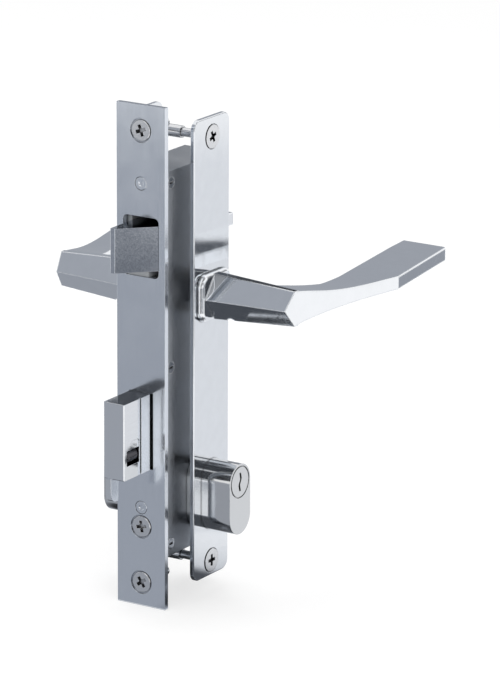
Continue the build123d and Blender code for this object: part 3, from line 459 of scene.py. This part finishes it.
def make_metal(name, colour, marks_mm, polish, bump_mm, edge_mm=0.25, slot_shade_reach_mm=1.2, cloud_mm=14.0,
               edge_gain=1.12, slot_shade_share=0.25, wander=0.08):
    """Add a metal to the finishes. Polish is its lowest and highest roughness, all sizes are in mm."""
    material = bpy.data.materials.new(name)
    material.use_nodes = True
    tree = material.node_tree
    tree.nodes.clear()
    fine = marks(tree, *marks_mm)
    cloud = marks(tree, cloud_mm, cloud_mm, cloud_mm, cloud_detail)
    bent = soft_edges(tree, edge_mm)
    rubbed = edge_factor(tree, bent)
    uneven = blend_colours(tree, spread(tree, fine, 0.0, 1.0), darker(colour, 1.0 - wander), (*colour, 1.0))
    shiny = blend_colours(tree, rubbed, uneven, darker(colour, edge_gain))
    # Painted shade: the colour is darkened in slots and inner corners, where little light gets in.
    painted_slot_shade = painted_shade_factor(tree, slot_shade_reach_mm)
    shaded = blend_colours(tree, painted_slot_shade, darker(colour, slot_shade_share), shiny)
    low, high = polish
    both = put(tree, "ShaderNodeMath", {0: fine, 1: cloud}, operation="ADD").outputs[0]
    rough = spread(tree, both, low, high, smooth_sum, rough_sum)
    normal = raised(tree, fine, bump_mm, bent)
    feed = {"Base Color": shaded, "Metallic": 1.0, "Roughness": rough, "Normal": normal}
    shader = put(tree, "ShaderNodeBsdfPrincipled", feed)
    put(tree, "ShaderNodeOutputMaterial", {"Surface": shader.outputs[0]})
    finishes[name] = material
    print("finish:", name, "roughness", low, "to", high)


# %% [markdown]
# ## The metals, one by one
# The forend is rolled stainless strip: satin, with hair lines along its length. The screws are bright
# plated. The case and the small works behind the forend are zinc-plated pressings, duller and cloudier. The
# latch is a plated casting, and the dead bolt a ground bar with lines along its travel. The cylinder is
# nickel with turning marks, its pins are brass, and the plates and levers are polished chrome, which is
# almost a mirror.

# %% Mix the metals
# Each gives the colour, the sizes of the marks, the roughness from and to, and the depth of the bump.
make_metal("forend_steel", (0.80, 0.84, 0.90), (0.09, 0.09, 16.0), (0.13, 0.20), 0.004)
# The screws' cross recesses get deep painted shade, almost black.
make_metal("screw_steel", (0.78, 0.79, 0.81), (0.5, 0.5, 0.5), (0.12, 0.24), 0.004,
           slot_shade_reach_mm=3.0, slot_shade_share=0.06)
make_metal("case_steel", (0.44, 0.46, 0.49), (2.2, 2.2, 2.2), (0.30, 0.46), 0.006)
make_metal("spring_steel", (0.36, 0.37, 0.39), (0.2, 1.2, 0.2), (0.25, 0.40), 0.003)
make_metal("latch_zinc", (0.56, 0.59, 0.64), (0.8, 0.8, 0.8), (0.10, 0.16), 0.002)
# The bolt's painted shade reaches 5 mm, so the narrow gaps beside it turn dark.
make_metal("bolt_steel", (0.84, 0.86, 0.89), (0.08, 10.0, 0.08), (0.04, 0.10), 0.0012, slot_shade_reach_mm=5.0)
make_metal("dark_insert", (0.08, 0.08, 0.09), (0.4, 0.4, 0.4), (0.14, 0.24), 0.003, edge_gain=3.5)
make_metal("cylinder_nickel", (0.76, 0.77, 0.78), (12.0, 0.09, 0.09), (0.07, 0.13), 0.002)
make_metal("pin_brass", (0.72, 0.56, 0.28), (2.0, 2.0, 0.10), (0.15, 0.28), 0.003)
make_metal("plate_chrome", (0.82, 0.845, 0.88), (5.0, 5.0, 5.0), (0.04, 0.10), 0.003, wander=0.03)
make_metal("lever_chrome", (0.86, 0.88, 0.91), (6.0, 6.0, 6.0), (0.03, 0.07), 0.002,
           wander=0.03, edge_mm=0.8)

# %% [markdown]
# ## The moulded guides
# The collars that guide the latch and the bolt are grey nylon. Plastic isn't a metal: its colour comes from
# inside, and only a weak gloss lies on top. Moulds are spark-eroded, which leaves an even, pebbled grain.
# The grain could be cut into the mesh, but at a third of a millimetre a bump in the shader looks the same.

# %% Mix the plastic
grain_detail = 2.0
moulded_edge_mm = 0.3
moulded_shade_reach_mm = 2.0
least_open = 0.2
shaded_share = 0.45
moulded_roughness = (0.42, 0.58)
moulded_gloss = 0.45


def make_plastic(name, colour, grain_mm, grain_depth_mm):
    """Add a moulded plastic to the finishes, with an even grain and painted shade in its corners."""
    material = bpy.data.materials.new(name)
    material.use_nodes = True
    tree = material.node_tree
    tree.nodes.clear()
    grain = marks(tree, grain_mm, grain_mm, grain_mm, grain_detail)
    bent = soft_edges(tree, moulded_edge_mm)
    # Painted shade: the grey is darkened in corners and gaps, where little light gets in.
    painted_slot_shade = painted_shade_factor(tree, moulded_shade_reach_mm, least_open)
    toned = blend_colours(tree, painted_slot_shade, darker(colour, shaded_share), (*colour, 1.0))
    feed = {"Base Color": toned, "Roughness": spread(tree, grain, *moulded_roughness),
            "Normal": raised(tree, grain, grain_depth_mm, bent), "Specular IOR Level": moulded_gloss}
    shader = put(tree, "ShaderNodeBsdfPrincipled", feed)
    put(tree, "ShaderNodeOutputMaterial", {"Surface": shader.outputs[0]})
    finishes[name] = material
    print("finish:", name, "grain in mm:", grain_mm)


make_plastic("guide_plastic", (0.60, 0.62, 0.64), grain_mm=0.35, grain_depth_mm=0.015)

# %% [markdown]
# ## Dressing the pieces
# The lock's own list says which finish each piece takes. Going through that list, instead of naming every
# piece again, means that none is forgotten.

# %% Give each piece its finish
for piece in frame["record"]["subparts"]:
    dressed = nodes[piece["node"]]
    dressed.data.materials.clear()
    dressed.data.materials.append(finishes[piece["material_slot"]])

# %% [markdown]
# ## Two wound springs
# One coil spring pushes the latch out, and one brings the follower and its handles back. Their solids keep
# the length that they have at rest, so each is wound again here as wire. A curve with a round bevel would
# make the wire too, but here the mesh is built point by point, to see how a tube is made: a small ring of
# points is carried along a helix, and faces join each ring to the next. The box of the solid says how long
# and how wide the coil is. The first and last turns lie against their neighbours, as on a real pressure
# spring.

# %% Points and faces of a wound wire
ring_points = 8
rings_a_turn = 28
closed_turns = 1.0


def along_coil(turn, turns, wire, length):
    """How far along the coil a turn is, where the first and the last turn are closed."""
    open_pitch = (length - 2 * closed_turns * wire) / (turns - 2 * closed_turns)
    first = min(turn, closed_turns) * wire
    between = max(0.0, min(turn, turns - closed_turns) - closed_turns) * open_pitch
    last = max(0.0, turn - turns + closed_turns) * wire
    return first + between + last


def wire_points(low, high, wire, turns):
    """Rings of points round a helix along Y that fills the box from low to high."""
    centre_x, centre_z = (low[0] + high[0]) / 2, (low[2] + high[2]) / 2
    coil_radius = (high[0] - low[0] - wire) / 2
    length = high[1] - low[1] - wire
    points = []
    for ring in range(turns * rings_a_turn + 1):
        turn = ring / rings_a_turn
        angle = 2 * math.pi * turn
        middle_y = low[1] + wire / 2 + along_coil(turn, turns, wire, length)
        for corner in range(ring_points):
            around = 2 * math.pi * corner / ring_points
            radius = coil_radius + wire / 2 * math.cos(around)
            points.append((centre_x + radius * math.cos(angle), middle_y + wire / 2 * math.sin(around),
                           centre_z + radius * math.sin(angle)))
    return points


def tube_faces(point_count):
    """Two end caps, and a band of four-sided faces between each ring of points and the next."""
    last_ring = point_count - ring_points
    faces = [tuple(reversed(range(ring_points))), tuple(range(last_ring, point_count))]
    for start in range(0, last_ring, ring_points):
        for corner in range(ring_points):
            follow = (corner + 1) % ring_points
            faces.append((start + corner, start + follow, start + ring_points + follow,
                          start + ring_points + corner))
    return faces


# %% Wind both springs
def wound_spring(name, node, wire_mm, turns):
    """A coil of wire that fills the box of a solid, and stands for it."""
    low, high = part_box(node)
    points = wire_points(low, high, wire_mm / mm_per_m, turns)
    faces = tube_faces(len(points))
    mesh = bpy.data.meshes.new(name)
    mesh.from_pydata(points, [], faces)
    mesh.polygons.foreach_set("use_smooth", [True] * len(faces))
    mesh.materials.append(finishes["spring_steel"])
    coil = bpy.data.objects.new(name, mesh)
    bpy.context.scene.collection.objects.link(coil)
    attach(coil, "lock_case")
    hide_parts(node)
    print("spring:", name, "length in mm:", round(mm_per_m * (high[1] - low[1]), 1), "turns:", turns)
    return coil


latch_coil = wound_spring("latch_spring_coil", "latch_spring", wire_mm=0.8, turns=11)
follower_coil = wound_spring("follower_spring_coil", "follower_spring", wire_mm=0.9, turns=8)

# %% [markdown]
# ## The springs at rest
# When a handle goes down, the latch draws back and the follower's arm comes round, and each presses its
# spring together. Shape keys driven by hand could show that, but here the coils are not shortened: each only
# gets its own copy of its mesh and keeps its resting length. The arm stands straight down at rest, so its
# tip travels by its length times the sine of the turn.


def shorten(coil):
    """Give a coil its own copy of its mesh. The coil is not squashed and keeps its resting length."""
    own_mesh(coil)


shorten(latch_coil)
shorten(follower_coil)
